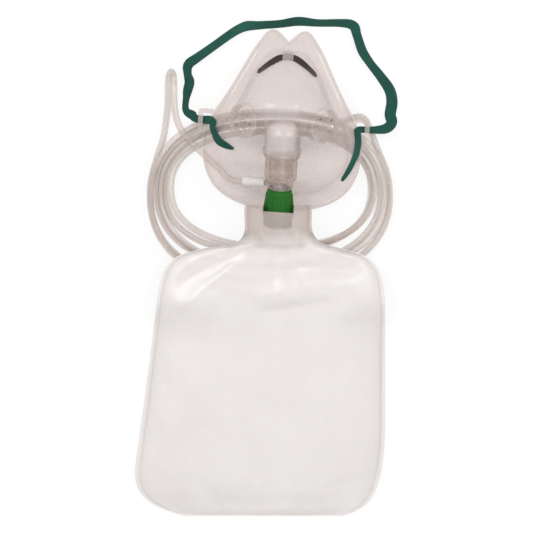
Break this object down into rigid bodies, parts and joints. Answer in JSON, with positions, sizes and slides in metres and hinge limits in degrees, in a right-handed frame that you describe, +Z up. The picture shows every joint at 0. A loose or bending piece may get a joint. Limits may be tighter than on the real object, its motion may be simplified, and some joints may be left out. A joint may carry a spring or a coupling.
{
  "type": "oxygen face mask",
  "caption": "Clear oxygen face mask with reservoir bag, green head strap, nose clip, valve tee and coiled supply tubing, lying flat.",
  "frame": {"origin": "on the table under the middle of the mask, strap and bag, measured without the tubing", "axes": "+Z up from the table, +Y along the longest side from the bag to the nose end, +X to the right seen from above with the nose end up"},
  "size_m": [0.1839, 0.3492, 0.0572],
  "materials": {
    "clear_pvc": "clear soft vinyl",
    "clear_rigid": "clear rigid plastic",
    "bag_film": "milky clear film",
    "green_plastic": "moulded green",
    "green_elastic": "woven elastic",
    "aluminium": "bare strip",
    "silicone": "translucent silicone",
    "tubing": "clear vinyl tubing"
  },
  "bodies": {
    "root": {"mask_shell": "clear_pvc", "nose_clip": "aluminium", "exhalation_flap_left": "silicone", "exhalation_flap_right": "silicone", "tee_body": "clear_rigid", "inlet_valve_seat": "clear_rigid", "inlet_valve_flap": "silicone", "bag_collar": "green_plastic", "reservoir_bag": "bag_film", "head_strap": "green_elastic", "tube_sleeve": "tubing", "oxygen_tube": "tubing", "tube_coil": "tubing", "oxygen_tube_end": "tubing", "tube_source_connector": "tubing"}
  },
  "joints": []
}
